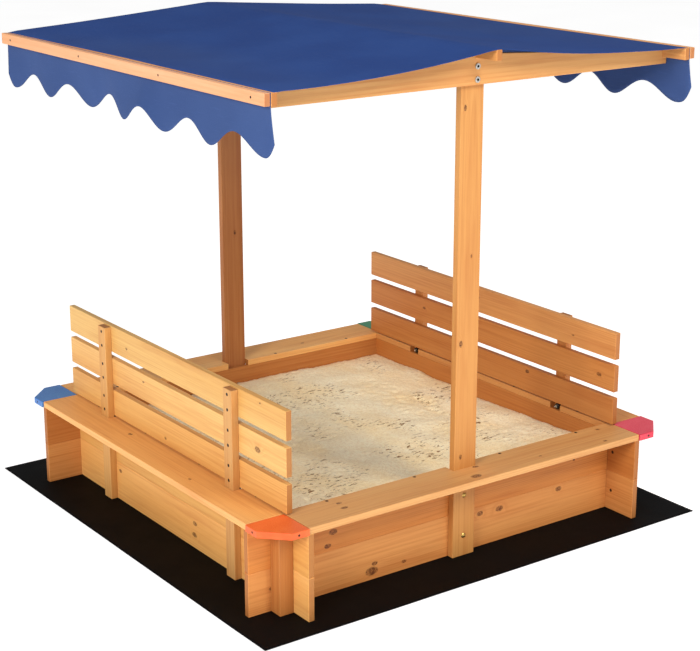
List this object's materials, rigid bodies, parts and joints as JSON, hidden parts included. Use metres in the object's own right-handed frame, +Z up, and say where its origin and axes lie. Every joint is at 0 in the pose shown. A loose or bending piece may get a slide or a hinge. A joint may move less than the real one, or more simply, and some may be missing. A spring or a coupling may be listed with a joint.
{
  "type": "covered sandbox",
  "caption": "square wooden sandbox with side benches, slatted backrests, coloured corner caps, a sand fill, a ground sheet and a fabric gable canopy on two posts",
  "frame": {"origin": "centre of the underside of the ground sheet, on the ground", "axes": "+X to the right along the front wall, +Y from the front to the back, +Z up"},
  "size_m": [1.28, 1.28, 1.1993],
  "materials": {
    "pine": "oiled, honey-coloured, with small dark knots",
    "pale_pine": "planed, paler than the rest",
    "orange_paint": "painted orange, satin",
    "blue_paint": "painted blue, satin",
    "red_paint": "painted red, satin",
    "green_paint": "painted green, satin",
    "canopy_fabric": "coated plain weave, navy blue",
    "ground_fabric": "woven black ground cover, matte",
    "sand": "fine loose play sand",
    "brass": "yellow zinc plating, satin",
    "zinc": "zinc plated, dull",
    "dark_steel": "dark coated screws",
    "black_plastic": "glossy black"
  },
  "bodies": {
    "root": {"back_left_corner_cap": "blue_paint", "back_left_corner_post": "pine", "back_post": "pine", "back_rafter": "pine", "back_right_corner_cap": "green_paint", "back_right_corner_post": "pine", "back_top_board": "pine", "back_wall_lower_board": "pine", "back_wall_upper_board": "pine", "batten_screws": "dark_steel", "bench_seat_screws": "dark_steel", "canopy_cloth": "canopy_fabric", "clamp_strip_screws": "dark_steel", "corner_cap_screws": "dark_steel", "corner_post_screws": "dark_steel", "eave_rail_screws": "dark_steel", "front_left_corner_cap": "orange_paint", "front_left_corner_post": "pine", "front_post": "pine", "front_rafter": "pine", "front_right_corner_cap": "red_paint", "front_right_corner_post": "pine", "front_top_board": "pine", "front_wall_lower_board": "pine", "front_wall_upper_board": "pine", "ground_sheet": "ground_fabric", "left_backrest_back_batten": "pine", "left_backrest_front_batten": "pine", "left_backrest_lower_slat": "pine", "left_backrest_middle_slat": "pine", "left_backrest_upper_slat": "pine", "left_bench_seat": "pine", "left_clamp_strip": "pale_pine", "left_eave_rail": "pine", "left_wall_lower_board": "pine", "left_wall_upper_board": "pine", "post_bolts": "brass", "post_nuts": "zinc", "post_washers": "zinc", "rafter_bolts": "zinc", "rafter_nuts": "zinc", "rafter_washers": "zinc", "ridge_beam": "pine", "ridge_screws": "dark_steel", "right_backrest_back_batten": "pine", "right_backrest_front_batten": "pine", "right_backrest_lower_slat": "pine", "right_backrest_middle_slat": "pine", "right_backrest_upper_slat": "pine", "right_bench_seat": "pine", "right_clamp_strip": "pale_pine", "right_eave_rail": "pine", "right_wall_lower_board": "pine", "right_wall_upper_board": "pine", "sand_bed": "sand", "seat_cap_nuts": "black_plastic", "seat_hanger_bolts": "zinc", "slat_screws": "dark_steel", "top_board_screws": "dark_steel"}
  },
  "joints": []
}
